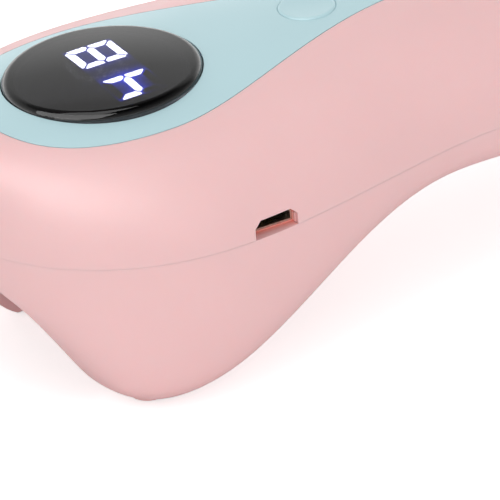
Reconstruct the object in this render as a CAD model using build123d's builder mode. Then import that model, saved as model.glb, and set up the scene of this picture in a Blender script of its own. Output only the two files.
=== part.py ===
from build123d import *
import math
import os

os.makedirs("parts", exist_ok=True)

# Handheld nail lamp. X runs from the nose to the end of the handle, -Y is the charging port's side,
# and Z = 0 is the surface that the lamp stands on.

# Overall sizes
overall_length = 168.0
head_width = 66.0
head_height = 46.6
nose_length = 34.3
grip_width = 45.6
tail_width = 37.0

# Places along the lamp, measured from the nose
neck_place = 94.0
bend_place = 77.0
display_place = 29.9
digits_place = 32.2
port_place = 42.0
button_place = 67.0
panel_front_place = 7.5
panel_wide_place = 31.5
strip_place = 83.5
panel_end_place = 104.0
leg_front_place = 21.4
leg_rear_place = 24.0
leg_end_place = 78.3
leg_middle_shift = 2.7
window_place = 27.0
battery_place = 110.0
tail_round_length = 24.0

# Upper and lower halves
head_rise = 18.5
tail_rise = 14.5
chin_depth = 9.8
leg_depth = 29.2
grip_depth = 9.2
tail_depth = 12.5
tail_droop = 22.5
upper_fullness = 0.73
leg_fullness = 0.98
grip_fullness = 0.79
nose_plan_power = 2.06
nose_side_power = 6.0
chin_side_power = 4.0
tail_plan_power = 2.2
tail_side_power = 2.6
panel_fullness = 0.655
flank_start = 0.28
flank_end = 0.35

# Walls and clearances
wall = 2.2
roof_wall = 3.3
skirt_start = 0.6
lip_wall = 1.0
lip_height = 1.4
lip_gap = 0.12
glue_gap = 0.1
inlay_gap = 0.12
slide_gap = 0.1
thread_gap = 0.03
part_gap = 0.3
press_gap = 0.05
board_hole_gap = 0.15
well_gap = 0.2
foot_height = 0.5

# Blue inlay and display
panel_half = 19.9
strip_half = 4.9
panel_thickness = 1.6
lens_half_length = 16.3
lens_half_width = 15.0
lens_edge = 0.65
lens_crown = 0.95
lens_round = 1.35
lens_seat_depth = 1.6
tape_thickness = 0.2
tape_inset = 0.3
display_opening_radius = 13.8
housing_radius = 13.3
housing_top_depth = 1.7
housing_chamfer = 0.4
digit_height = 8.1
digit_width = 6.8
digit_pitch = 11.85
segment_width = 1.3
segment_gap = 0.3
segment_round = 0.22
segment_depth = 0.5
pocket_gap = 0.02

# Power button and its switch
button_radius = 4.65
button_proud = 0.25
button_round = 0.5
button_dish = 0.2
flange_radius = 5.8
flange_thickness = 0.8
stem_radius = 1.6
switch_side = 6.0
switch_height = 3.4
switch_corner = 0.5
plunger_radius = 1.7
plunger_rise = 0.55
plunger_depth = 1.2
switch_floor = 1.2

# Circuit boards
control_depth = 9.0
control_length = 59.0
control_front_place = 15.0
control_width = 34.0
board_thickness = 1.2
control_corner = 3.0
board_screw_inset = 3.5
control_chip_shift = 6.0
control_chip_length = 10.3
control_chip_width = 7.5
control_chip_height = 2.3
chip_corner = 0.3
chip_leg_pitch = 1.27
chip_leg_reach = 1.3
chip_leg_width = 0.42
chip_leg_height = 0.6
charge_length = 19.0
charge_width = 16.7
charge_setback = 2.5
charge_shift = 0.5
charge_rise = 0.3
charge_thickness = 1.6
charge_corner = 0.8
charge_screw_end = 2.5
charge_screw_far = 2.6
charge_boss_height = 12.0
charger_chip_length = 4.9
charger_chip_width = 3.9
charger_chip_height = 1.5
charger_chip_far = 6.3
charger_chip_shift = 0.3
coil_side = 5.2
coil_height = 2.8
coil_end = 4.0
coil_groove_radius = 2.1
coil_core_radius = 1.7
coil_groove_depth = 0.3

# Charging socket
port_width = 8.1
port_height = 3.1
port_chamfer = 1.2
socket_width = 7.5
socket_height = 2.6
socket_depth = 5.6
socket_wall = 0.3
socket_gap = 0.1
socket_cut = 0.9
socket_inner_cut = 0.75
socket_back = 1.6
tongue_width = 5.2
tongue_thickness = 0.65
tongue_inset = 0.8
tongue_rise = 0.3
header_length = 6.0
header_width = 6.0
header_height = 4.4
header_wall = 0.6
header_near = 6.3
header_end = 3.4
plug_length = 3.6
plug_tail = 1.6

# Finger tunnel and its light
tunnel_half = 15.5
tunnel_corner = 8.0
tunnel_drop = 5.3
tunnel_slope = 4.0
tunnel_length = 88.0
tunnel_lead = 10.0
window_length = 30.0
window_width = 12.0
window_rim = 1.5
window_thickness = 1.2
window_corner = 2.0
reflector_height = 3.0
reflector_length = 32.0
reflector_width = 17.0
led_board_length = 42.0
led_board_thickness = 1.4
led_board_corner = 2.5
led_columns = 3
led_rows = 2
led_pitch_x = 9.6
led_pitch_y = 6.4
led_hole_radius = 2.5
led_mouth_radius = 2.95
led_length = 3.5
led_width = 2.8
led_height = 0.9
led_corner = 0.3
led_screw_inset = 2.4

# Battery
cell_length = 48.0
cell_width = 29.0
cell_thickness = 10.0
guard_length = 3.4
guard_width = 20.0
lead_radius = 0.55
lead_bend = 2.2
tight_bend = 1.4
led_lead_shift = 2.9
led_lead_pitch = 1.6
led_lead_far = 2.7
led_lead_step = 1.2
led_lead_y = 5.0
led_lead_rise = 3.2
link_shift = 2.1
link_far = 1.8
link_inset = 4.7
link_end = 1.8
link_sway = 2.6
link_bend = 0.8
link_width = 4.6
link_thickness = 0.6
lead_pitch = 2.4
guard_thickness = 1.0
guard_lead_y = 6.0
cell_rise = 6.4
cell_corner = 1.5
cell_round = 1.2
pad_thickness = 1.0
pad_end = 3.0
pad_side = 2.5
rib_thickness = 1.6
rib_spacing = 0.4
rib_depth = 12.0

# Screws and feet
case_boss_radius = 3.2
case_tower_radius = 4.2
case_well_radius = 2.5
case_shank_radius = 1.25
case_head_height = 2.0
leg_head_seat = 6.0
tail_head_seat = 4.0
leg_thread_length = 9.0
tail_thread_length = 7.5
board_boss_radius = 2.2
board_shank_radius = 0.95
board_head_radius = 1.75
board_head_height = 1.2
leg_screw_y = 20.4
leg_foot_length = 11.0
leg_foot_width = 6.4
tail_foot_length = 12.0
tail_foot_width = 9.0
foot_recess = 0.8
tail_screw_inset = 9.5
foot_chamfer = 0.3
foot_floor = 1.4
board_thread_length = 4.2
led_thread_length = 3.8
charge_thread_length = 3.2
thread_room = 0.4
cross_width = 0.45
cross_share = 1.25

nose_x = -overall_length / 2
tail_x = overall_length / 2
widest_x = nose_x + nose_length
neck_x = nose_x + neck_place
bend_x = nose_x + bend_place
display_x = nose_x + display_place
digits_x = nose_x + digits_place
port_x = nose_x + port_place
button_x = nose_x + button_place
tail_round_x = tail_x - tail_round_length
tail_screw_x = tail_x - tail_screw_inset
leg_x = nose_x + (leg_front_place + leg_rear_place) / 2 + leg_middle_shift
battery_x = nose_x + battery_place
seam_level = head_height - head_rise
under_z = -4.0


def blend(x, start, end, low, high):
    """A smooth step from one value to another between two places."""
    t = min(max((x - start) / (end - start), 0.0), 1.0)
    return low + (high - low) * t * t * (3.0 - 2.0 * t)


def closing(t, power):
    """How much of a section is left at a share t of the way to the end of the body."""
    t = min(max(t, 0.0), 1.0)
    return (1.0 - t**power) ** (1.0 / power)


def nose_share(x, inset):
    return (widest_x - x) / (nose_length - inset)


def tail_share(x, inset):
    return (x - tail_round_x) / (tail_round_length - inset)


def half_width(x, inset=0.0):
    width = blend(x, widest_x, neck_x, head_width / 2, grip_width / 2)
    width += blend(x, neck_x, tail_round_x, 0.0, (tail_width - grip_width) / 2)
    ends = closing(nose_share(x, inset), nose_plan_power) * closing(tail_share(x, inset), tail_plan_power)
    return (width - inset) * ends


def seam_z(x):
    """Height of the line where the two shells meet: level in the head, drooping along the handle."""
    t = max((x - bend_x) / (tail_x - bend_x), 0.0)
    return seam_level - tail_droop * t**2.2


def rise(x, inset=0.0, roof=0.0):
    """How far the upper shell stands above the seam."""
    height = blend(x, bend_x, tail_round_x, head_rise, tail_rise) - roof
    ends = closing(nose_share(x, inset), nose_side_power) * closing(tail_share(x, inset), tail_side_power)
    return height * ends


def depth(x, inset=0.0, floor=0.0):
    """How far the lower shell hangs below the seam."""
    depth_here = blend(x, nose_x, nose_x + leg_front_place, chin_depth, leg_depth)
    depth_here += blend(x, nose_x + leg_rear_place, nose_x + leg_end_place, 0.0, grip_depth - leg_depth)
    depth_here += blend(x, nose_x + leg_end_place, tail_round_x, 0.0, tail_depth - grip_depth)
    ends = closing(nose_share(x, inset), chin_side_power) * closing(tail_share(x, inset), tail_side_power)
    return (depth_here - floor) * ends


def lower_fullness(x):
    return blend(x, nose_x + leg_rear_place, nose_x + leg_end_place, leg_fullness, grip_fullness)


def stations(inset):
    """Section places: close together where the nose and the tail round off, even in between."""
    nose_angles = (4, 12, 21, 30, 40, 50, 60, 70, 80)
    tail_angles = (15, 30, 45, 60, 72, 80, 86)
    steps = 13
    places = [widest_x - (nose_length - inset) * math.cos(math.radians(a)) for a in nose_angles]
    places += [widest_x + (tail_round_x - widest_x) * i / steps for i in range(steps + 1)]
    places += [tail_round_x + (tail_round_length - inset) * math.sin(math.radians(a)) for a in tail_angles]
    return places


def across(x):
    """The plane square to the lamp's length at x, with Y to the right and Z up."""
    return Plane(origin=(x, 0, 0), x_dir=(0, 1, 0), z_dir=(1, 0, 0))


def half_body(upper, inset, plate, skirt, ruled=False):
    """One half of the body as a solid, set in by the wall and the plate.

    A skirt carries the sides straight on past the seam, from a little inside it.
    The hollows are ruled between their sections, as nothing shows there."""
    with BuildPart() as form:
        for x in stations(inset):
            w = half_width(x, inset)
            if upper:
                crown = seam_z(x) + rise(x, inset, plate)
                k = upper_fullness
                side = 1.0
            else:
                crown = seam_z(x) - depth(x, inset, plate)
                k = lower_fullness(x)
                side = -1.0
            s = seam_z(x)
            if skirt > 0:
                s += side * skirt_start
            h = crown - s
            with BuildSketch(across(x)):
                with BuildLine():
                    Bezier((w, s), (w, s + k * h), (k * w, crown), (0, crown))
                    Bezier((0, crown), (-k * w, crown), (-w, s + k * h), (-w, s))
                    if skirt > 0:
                        Polyline((-w, s), (-w, s - side * skirt), (w, s - side * skirt), (w, s))
                    else:
                        Line((-w, s), (w, s))
                make_face()
        loft(ruled=ruled)
    return form.part


def panel_block(inset, low, high):
    """The inlay's teardrop outline, set in and drawn up between two heights."""
    front_x = nose_x + panel_front_place + inset
    wide_x = nose_x + panel_wide_place
    strip_x = nose_x + strip_place
    end_x = nose_x + panel_end_place - inset
    wide = panel_half - inset
    half = strip_half - inset
    front = (wide_x - front_x) * (1.0 - panel_fullness)
    flank = strip_x - wide_x
    with BuildPart() as block:
        with BuildSketch(Plane.XY.offset(low)):
            with BuildLine():
                Bezier((front_x, 0), (front_x, panel_fullness * wide), (front_x + front, wide), (wide_x, wide))
                Bezier(
                    (wide_x, wide), (wide_x + flank_start * flank, wide), (strip_x - flank_end * flank, half),
                    (strip_x, half),
                )
                Line((strip_x, half), (end_x - half, half))
                RadiusArc((end_x - half, half), (end_x, 0), half)
                mirror(about=Plane.XZ)
            make_face()
        extrude(amount=high - low)
    return block.part


def tunnel_block(extra):
    """The finger tunnel: a round-cornered arch running back from the nose and sloping down."""
    tunnel_mouth_z = seam_level - tunnel_drop + tunnel_lead * math.tan(math.radians(tunnel_slope))
    start = Plane(
        origin=(nose_x - tunnel_lead, 0, tunnel_mouth_z),
        x_dir=(0, 1, 0),
        z_dir=(math.cos(math.radians(tunnel_slope)), 0, -math.sin(math.radians(tunnel_slope))),
    )
    half = tunnel_half + extra
    floor = -leg_depth - 20.0
    with BuildPart() as block:
        with BuildSketch(start):
            with BuildLine():
                flat = tunnel_half - tunnel_corner
                round_off = tunnel_corner + extra
                Line((-half, floor), (half, floor))
                Line((half, floor), (half, -tunnel_corner))
                RadiusArc((half, -tunnel_corner), (flat, extra), -round_off)
                Line((flat, extra), (-flat, extra))
                RadiusArc((-flat, extra), (-half, -tunnel_corner), -round_off)
                Line((-half, -tunnel_corner), (-half, floor))
            make_face()
        extrude(amount=tunnel_length + extra)
    return block.part


# Body halves, whole
upper_body = half_body(True, 0.0, 0.0, 0.0)
lower_body = half_body(False, 0.0, 0.0, 0.0)
upper_hollow = half_body(True, wall, roof_wall, 2.0, ruled=True)
lower_hollow = half_body(False, wall, wall, 2.0, ruled=True)
lip_form = half_body(False, lip_wall + lip_gap, lip_wall, lip_height)
lip_groove = half_body(False, lip_wall, lip_wall, lip_height + lip_gap)
boss_limit = half_body(True, lip_wall, roof_wall / 2, 2.0)
inlay_floor = half_body(True, 0.0, panel_thickness + glue_gap, 2.0)
inlay_underside = half_body(True, 0.0, panel_thickness, 2.0)
tunnel = tunnel_block(0.0)
tunnel_wall = tunnel_block(wall)

# Places in the head
panel_low_z = seam_level + 5.0
panel_high_z = head_height + 5.0
lens_seat_z = head_height - lens_seat_depth
control_top_z = head_height - control_depth
control_x = nose_x + control_front_place + control_length / 2
charge_top_z = seam_level + charge_rise
charge_low_z = charge_top_z - charge_thickness
charge_x = port_x - charge_shift
mouth_y = -half_width(port_x, wall) - socket_gap
charge_near_y = mouth_y + charge_setback
charge_far_y = charge_near_y + charge_width
control_screws = [
    (control_x + sx * (control_length / 2 - board_screw_inset), sy * (control_width / 2 - board_screw_inset))
    for sx in (-1, 1)
    for sy in (-1, 1)
]
charge_screws = [
    (charge_x + sx * (charge_length / 2 - charge_screw_end), charge_far_y - charge_screw_far) for sx in (-1, 1)
]
leg_screws = [(leg_x, leg_screw_y), (leg_x, -leg_screw_y)]
tail_tower_z = seam_z(tail_screw_x)
led_screw_x = led_board_length / 2 - led_screw_inset
slope = math.radians(tunnel_slope)
light_plane = Plane(
    origin=(
        nose_x + window_place,
        0,
        seam_level - tunnel_drop - window_place * math.tan(slope) + wall / math.cos(slope),
    ),
    x_dir=(math.cos(slope), 0, -math.sin(slope)),
    z_dir=(math.sin(slope), 0, math.cos(slope)),
)
cell_front_x = battery_x - cell_length / 2
cell_rear_x = battery_x + cell_length / 2
cell_tilt = math.atan2(seam_z(cell_front_x) - seam_z(cell_rear_x), cell_length)
cell_plane = Plane(
    origin=(battery_x, 0, seam_z(battery_x) - cell_rise),
    x_dir=(math.cos(cell_tilt), 0, -math.sin(cell_tilt)),
    z_dir=(math.sin(cell_tilt), 0, math.cos(cell_tilt)),
)

# Top shell: the shoulders and the upper half of the handle
with BuildPart() as port_block:
    with BuildSketch(Plane.XZ.offset(head_width / 2 - wall - 3.0)):
        with Locations((port_x, seam_level + port_height / 2)):
            port_outline = Rectangle(port_width, port_height)
        chamfer(port_outline.vertices().group_by(Axis.Y)[-1], port_chamfer)
        with Locations((port_x, seam_level - 0.5)):
            Rectangle(port_width, 1.0)
    extrude(amount=wall + 8.0)

with BuildPart() as bosses:
    with BuildSketch(Plane.XY.offset(control_top_z)):
        with Locations(*control_screws):
            Circle(board_boss_radius)
    extrude(amount=control_depth)
    with BuildSketch(Plane.XY.offset(seam_level)):
        with Locations(*leg_screws):
            Circle(case_boss_radius)
    extrude(amount=head_rise)
    with BuildSketch(Plane.XY.offset(tail_tower_z)):
        with Locations((tail_screw_x, 0)):
            Circle(case_boss_radius)
    extrude(amount=tail_rise)

with BuildPart() as top_shell:
    add(upper_body)
    add(upper_hollow, mode=Mode.SUBTRACT)
    add(lip_groove, mode=Mode.SUBTRACT)
    add(bosses.part & boss_limit)
    with BuildSketch(Plane.XY.offset(seam_level)):
        with Locations(*leg_screws):
            Circle(case_shank_radius + thread_gap)
    extrude(amount=leg_thread_length, mode=Mode.SUBTRACT)
    with BuildSketch(Plane.XY.offset(tail_tower_z)):
        with Locations((tail_screw_x, 0)):
            Circle(case_shank_radius + thread_gap)
    extrude(amount=tail_thread_length, mode=Mode.SUBTRACT)
    with BuildSketch(Plane.XY.offset(control_top_z)):
        with Locations(*control_screws):
            Circle(board_shank_radius + thread_gap)
    extrude(amount=board_thread_length + thread_room, mode=Mode.SUBTRACT)
    # Recess for the inlay, seat and opening for the display, hole for the button
    add(panel_block(0.0, panel_low_z, panel_high_z) - inlay_floor, mode=Mode.SUBTRACT)
    with BuildSketch(Plane.XY.offset(lens_seat_z)):
        with Locations((display_x, 0)):
            Ellipse(lens_half_length + inlay_gap, lens_half_width + inlay_gap)
    extrude(amount=lens_seat_depth + 3.0, mode=Mode.SUBTRACT)
    with BuildSketch(Plane.XY.offset(head_height - roof_wall)):
        with Locations((display_x, 0)):
            Ellipse(lens_half_length, lens_half_width)
    extrude(amount=roof_wall - lens_seat_depth)
    with BuildSketch(Plane.XY.offset(lens_seat_z - 5.0)):
        with Locations((display_x, 0)):
            Circle(display_opening_radius)
        with Locations((button_x, 0)):
            Circle(button_radius + slide_gap)
    extrude(amount=10.0, mode=Mode.SUBTRACT)
    add(port_block.part, mode=Mode.SUBTRACT)
top_shell.part.label = "top_shell"

# Bottom shell: two hollow legs, the finger tunnel between them and the handle's underside
with BuildPart() as towers:
    with BuildSketch(Plane.XY.offset(under_z)):
        with Locations(*leg_screws):
            Circle(case_tower_radius)
    extrude(amount=seam_level - under_z - part_gap / 2)
    with BuildSketch(Plane.XY.offset(under_z)):
        with Locations((tail_screw_x, 0)):
            Circle(case_tower_radius)
    extrude(amount=tail_tower_z - under_z - part_gap / 2)
    # Thick floors round the recesses for the feet
    with BuildSketch(Plane.XY.offset(under_z)):
        with Locations(*leg_screws):
            SlotOverall(leg_foot_length + 2 * wall, leg_foot_width + 2 * wall)
        with Locations((tail_screw_x, 0)):
            SlotOverall(tail_foot_length + 2 * wall, tail_foot_width + 2 * wall)
    extrude(amount=foot_height + foot_recess + foot_floor - under_z)
    with BuildSketch(Plane.XY.offset(charge_low_z)):
        with Locations(*charge_screws):
            Circle(board_boss_radius)
    extrude(amount=-charge_boss_height)
    with BuildSketch(light_plane):
        with Locations((-led_screw_x, 0), (led_screw_x, 0)):
            Circle(board_boss_radius)
    extrude(amount=reflector_height)
    for place in (-rib_spacing, 0.0, rib_spacing):
        with BuildSketch(cell_plane):
            with Locations((place * cell_length, 0)):
                Rectangle(rib_thickness, cell_width)
        extrude(amount=-rib_depth)

with BuildPart() as lip_break:
    with BuildSketch(Plane.XY.offset(seam_level - lip_height)):
        with Locations((port_x, -head_width / 2)):
            Rectangle(port_width + 2.0, 16.0)
    extrude(amount=3 * lip_height)

with BuildPart() as bottom_shell:
    add(lower_body)
    add(lip_form - lip_break.part)
    add(lower_hollow - tunnel_wall, mode=Mode.SUBTRACT)
    add(towers.part & lip_form)
    add(tunnel, mode=Mode.SUBTRACT)
    # Flat soles on the legs and the tail, with wells for the case screws
    with BuildSketch(Plane.XY.offset(foot_height)):
        Rectangle(overall_length + 20.0, head_width + 20.0)
    extrude(amount=-20.0, mode=Mode.SUBTRACT)
    with BuildSketch(Plane.XY.offset(foot_height)):
        with Locations(*leg_screws):
            SlotOverall(leg_foot_length, leg_foot_width)
        with Locations((tail_screw_x, 0)):
            SlotOverall(tail_foot_length, tail_foot_width)
    extrude(amount=foot_recess, mode=Mode.SUBTRACT)
    with BuildSketch(Plane.XY):
        with Locations(*leg_screws):
            Circle(case_well_radius)
    extrude(amount=seam_level - leg_head_seat, mode=Mode.SUBTRACT)
    with BuildSketch(Plane.XY):
        with Locations((tail_screw_x, 0)):
            Circle(case_well_radius)
    extrude(amount=tail_tower_z - tail_head_seat, mode=Mode.SUBTRACT)
    with BuildSketch(Plane.XY):
        with Locations(*leg_screws, (tail_screw_x, 0)):
            Circle(case_shank_radius + well_gap)
    extrude(amount=seam_level, mode=Mode.SUBTRACT)
    with BuildSketch(Plane.XY.offset(charge_low_z)):
        with Locations(*charge_screws):
            Circle(board_shank_radius + thread_gap)
    extrude(amount=-charge_thread_length - thread_room, mode=Mode.SUBTRACT)
    # Light window with its ledge, and holes for the lamp board's screws
    with BuildSketch(light_plane):
        RectangleRounded(window_length, window_width, window_corner)
    extrude(amount=-wall - 2.0, mode=Mode.SUBTRACT)
    with BuildSketch(light_plane):
        RectangleRounded(window_length + 2 * window_rim, window_width + 2 * window_rim, window_corner + window_rim)
    extrude(amount=-window_thickness, mode=Mode.SUBTRACT)
    with BuildSketch(light_plane.offset(reflector_height)):
        with Locations((-led_screw_x, 0), (led_screw_x, 0)):
            Circle(board_shank_radius + thread_gap)
    extrude(amount=-led_thread_length - thread_room, mode=Mode.SUBTRACT)
bottom_shell.part.label = "bottom_shell"

# Blue inlay, let into the top shell and following its curve
with BuildPart() as top_panel:
    add((panel_block(inlay_gap, panel_low_z, panel_high_z) & upper_body) - inlay_underside)
    with BuildSketch(Plane.XY.offset(seam_level)):
        with Locations((display_x, 0)):
            Ellipse(lens_half_length + inlay_gap, lens_half_width + inlay_gap)
        with Locations((button_x, 0)):
            Circle(button_radius + slide_gap)
    extrude(amount=head_height, mode=Mode.SUBTRACT)
top_panel.part.label = "top_panel"

# Display: an oval domed lens on a ring of tape, over the block that holds the digits
lens_low_z = lens_seat_z + tape_thickness
lens_top_z = head_height + lens_edge
dome_radius = (lens_half_length**2 + lens_crown**2) / (2 * lens_crown)
with BuildPart() as display_lens:
    with BuildSketch(Plane.XY.offset(lens_low_z)):
        with Locations((display_x, 0)):
            Ellipse(lens_half_length, lens_half_width)
    extrude(amount=lens_top_z + lens_crown + 1.0 - lens_low_z)
    with Locations((display_x, 0, lens_top_z + lens_crown - dome_radius)):
        Sphere(dome_radius, rotation=(90, 0, 0), mode=Mode.INTERSECT)
    lens_dome = display_lens.faces().filter_by(GeomType.SPHERE)
    fillet(lens_dome.edges(), lens_round)
display_lens.part.label = "display_lens"

with BuildPart() as lens_tape:
    with BuildSketch(Plane.XY.offset(lens_seat_z)):
        with Locations((display_x, 0)):
            Ellipse(lens_half_length - tape_inset, lens_half_width - tape_inset)
            Circle(display_opening_radius + slide_gap, mode=Mode.SUBTRACT)
    extrude(amount=tape_thickness)
lens_tape.part.label = "lens_tape"


def bar_outline(name, grow):
    """The corners of one bar of a seven-bar digit, grown all round by a small amount.

    Bars a, d and g lie across, at the top, the bottom and the middle. The others stand at the sides,
    f and b above, e and c below. Ends are mitred, and the outer corners of the digit are filled."""
    x = digit_width / 2 + grow
    y = digit_height / 2 + grow
    stroke = segment_width + 2 * grow
    part = segment_gap / 2 * math.sqrt(2) - grow
    centre = x - stroke / 2
    if name == "g":
        return [
            (centre - part, 0), (x - stroke - part, stroke / 2), (-x + stroke + part, stroke / 2),
            (-centre + part, 0), (-x + stroke + part, -stroke / 2), (x - stroke - part, -stroke / 2),
        ]
    if name in "ad":
        up = 1 if name == "a" else -1
        corners = [(x - part, y), (-x + part, y), (-x + stroke + part, y - stroke), (x - stroke - part, y - stroke)]
        return [(cx, up * cy) for cx, cy in corners]
    up = 1 if name in "bf" else -1
    side = 1 if name in "bc" else -1
    corners = [
        (x, y - part), (x, part), (centre, part), (x - stroke, stroke / 2 + part), (x - stroke, y - stroke - part)
    ]
    return [(side * cx, up * cy) for cx, cy in corners]


def digit_bars(names, side, low, high, grow):
    """The named bars of one digit, drawn up between two heights."""
    plane = Plane(origin=(digits_x, side * digit_pitch / 2, low), x_dir=(0, 1, 0), z_dir=(0, 0, 1))
    with BuildPart() as bars:
        with BuildSketch(plane) as outlines:
            for name in names:
                Polygon(*bar_outline(name, grow), align=None)
            fillet(outlines.vertices(), segment_round + grow)
        extrude(amount=high - low)
    return bars.part


housing_top_z = head_height - housing_top_depth
bar_low_z = housing_top_z - segment_depth
lit_bars = {-1: "bcfg", 1: "abcdefg"}
dark_bars = {-1: "ade"}
with BuildPart() as display_housing:
    with BuildSketch(Plane.XY.offset(control_top_z)):
        with Locations((display_x, 0)):
            Circle(housing_radius)
    extrude(amount=housing_top_z - control_top_z)
    chamfer(display_housing.edges().filter_by(GeomType.CIRCLE).sort_by(Axis.Z)[-1], housing_chamfer)
    for side in (-1, 1):
        add(digit_bars("abcdefg", side, bar_low_z, housing_top_z + 1.0, pocket_gap), mode=Mode.SUBTRACT)
display_housing.part.label = "display_housing"

with BuildPart() as lit_segments:
    for side, names in lit_bars.items():
        add(digit_bars(names, side, bar_low_z, housing_top_z, 0.0))
lit_segments.part.label = "lit_segments"

with BuildPart() as dark_segments:
    for side, names in dark_bars.items():
        add(digit_bars(names, side, bar_low_z, housing_top_z, 0.0))
dark_segments.part.label = "dark_segments"

# Power button, and the tactile switch that it presses
button_axis = Axis((button_x, 0, 0), (0, 0, 1))
roof_low_z = head_height - roof_wall
flange_top_z = roof_low_z - part_gap
flange_low_z = flange_top_z - flange_thickness
button_top_z = head_height + button_proud
button_rim_radius = button_radius - button_round
dish_radius = (button_rim_radius**2 + button_dish**2) / (2 * button_dish)
switch_top_z = control_top_z + switch_height
plunger_top_z = switch_top_z + plunger_rise
with BuildPart() as power_button:
    with BuildSketch(Plane(origin=(button_x, 0, 0), x_dir=(1, 0, 0), z_dir=(0, -1, 0))):
        with BuildLine():
            Polyline(
                (0, button_top_z - button_dish),
                (0, plunger_top_z),
                (stem_radius, plunger_top_z),
                (stem_radius, flange_low_z),
                (flange_radius, flange_low_z),
                (flange_radius, flange_top_z),
                (button_radius, flange_top_z),
                (button_radius, button_top_z - button_round),
            )
            RadiusArc(
                (button_radius, button_top_z - button_round), (button_rim_radius, button_top_z), -button_round
            )
            RadiusArc((button_rim_radius, button_top_z), (0, button_top_z - button_dish), dish_radius)
        make_face()
    revolve(axis=button_axis)
power_button.part.label = "power_button"

with BuildPart() as switch_body:
    with BuildSketch(Plane.XY.offset(control_top_z)):
        with Locations((button_x, 0)):
            RectangleRounded(switch_side, switch_side, switch_corner)
    extrude(amount=switch_height)
    with BuildSketch(Plane.XY.offset(switch_top_z)):
        with Locations((button_x, 0)):
            Circle(plunger_radius + slide_gap)
    extrude(amount=-switch_height + switch_floor, mode=Mode.SUBTRACT)
switch_body.part.label = "switch_body"

with BuildPart() as switch_plunger:
    with BuildSketch(Plane.XY.offset(switch_top_z - plunger_depth)):
        with Locations((button_x, 0)):
            Circle(plunger_radius)
    extrude(amount=plunger_depth + plunger_rise - press_gap)
switch_plunger.part.label = "switch_plunger"


def screw(plane, head_radius, head_height, shank_radius, reach):
    """A cross-head screw: the head stands on the plane and the shank runs back from it."""
    with BuildPart() as fastener:
        with BuildSketch(plane):
            Circle(head_radius)
        extrude(amount=head_height)
        with BuildSketch(plane.offset(head_height)):
            Rectangle(cross_share * head_radius, cross_width)
            Rectangle(cross_width, cross_share * head_radius)
        extrude(amount=-head_height / 2, mode=Mode.SUBTRACT)
        with BuildSketch(plane):
            Circle(shank_radius)
        extrude(amount=-reach)
    return fastener.part


# Control board, hung from the top shell under the display and the button
control_low_z = control_top_z - board_thickness
with BuildPart() as control_board:
    with BuildSketch(Plane.XY.offset(control_low_z)):
        with Locations((control_x, 0)):
            RectangleRounded(control_length, control_width, control_corner)
        with Locations(*control_screws):
            Circle(board_shank_radius + board_hole_gap, mode=Mode.SUBTRACT)
    extrude(amount=board_thickness)
control_board.part.label = "control_board"

control_chip_x = control_x - control_chip_shift
with BuildPart() as control_chip:
    with BuildSketch(Plane.XY.offset(control_low_z)):
        with Locations((control_chip_x, 0)):
            RectangleRounded(control_chip_length, control_chip_width, chip_corner)
    extrude(amount=-control_chip_height)
    with BuildSketch(Plane.XY.offset(control_low_z)):
        with Locations((control_chip_x, 0)):
            with GridLocations(chip_leg_pitch, control_chip_width + chip_leg_reach, 7, 2):
                Rectangle(chip_leg_width, chip_leg_reach)
    extrude(amount=-chip_leg_height)
control_chip.part.label = "control_chip"

with BuildPart() as control_board_screws:
    for x, y in control_screws:
        screw_plane = Plane(origin=(x, y, control_low_z), z_dir=(0, 0, -1))
        add(
            screw(
                screw_plane, board_head_radius, board_head_height, board_shank_radius,
                board_thickness + board_thread_length,
            )
        )
control_board_screws.part.label = "control_board_screws"

# Charging board beside the port, with its socket, coil, chip and battery connector
socket_mid_z = charge_top_z + socket_height / 2
socket_plane = Plane(origin=(port_x, mouth_y, socket_mid_z), x_dir=(-1, 0, 0), z_dir=(0, 1, 0))
header_x = charge_x + charge_length / 2 - header_end
header_y = charge_near_y + header_near
with BuildPart() as charging_board:
    with BuildSketch(Plane.XY.offset(charge_low_z)):
        with Locations((charge_x, charge_near_y + charge_width / 2)):
            RectangleRounded(charge_length, charge_width, charge_corner)
        with Locations(*charge_screws):
            Circle(board_shank_radius + board_hole_gap, mode=Mode.SUBTRACT)
    extrude(amount=charge_thickness)
charging_board.part.label = "charging_board"


def socket_outline(width, height, corner):
    """The socket's D shape: square below, cut corners above."""
    x = width / 2
    y = height / 2
    return [(-x, -y), (x, -y), (x, y - corner), (x - corner, y), (-x + corner, y), (-x, y - corner)]


inner_width = socket_width - 2 * socket_wall
inner_height = socket_height - 2 * socket_wall
with BuildPart() as usb_shell:
    with BuildSketch(socket_plane):
        Polygon(*socket_outline(socket_width, socket_height, socket_cut), align=None)
        Polygon(*socket_outline(inner_width, inner_height, socket_inner_cut), align=None, mode=Mode.SUBTRACT)
    extrude(amount=socket_depth)
usb_shell.part.label = "usb_shell"

with BuildPart() as usb_tongue:
    with BuildSketch(socket_plane.offset(socket_depth - socket_back)):
        Polygon(
            *socket_outline(inner_width - 2 * pocket_gap, inner_height - 2 * pocket_gap, socket_inner_cut),
            align=None,
        )
    extrude(amount=socket_back)
    with BuildSketch(socket_plane.offset(tongue_inset)):
        with Locations((0, tongue_rise)):
            Rectangle(tongue_width, tongue_thickness)
    extrude(amount=socket_depth - socket_back)
usb_tongue.part.label = "usb_tongue"

charger_chip_spot = (charge_x + charger_chip_shift, charge_far_y - charger_chip_far)
with BuildPart() as charger_chip:
    with BuildSketch(Plane.XY.offset(charge_top_z)):
        with Locations(charger_chip_spot):
            Rectangle(charger_chip_length, charger_chip_width)
    extrude(amount=charger_chip_height)
    with BuildSketch(Plane.XY.offset(charge_top_z)):
        with Locations(charger_chip_spot):
            with GridLocations(chip_leg_pitch, charger_chip_width + chip_leg_reach, 4, 2):
                Rectangle(chip_leg_width, chip_leg_reach)
    extrude(amount=chip_leg_height)
charger_chip.part.label = "charger_chip"

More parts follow.
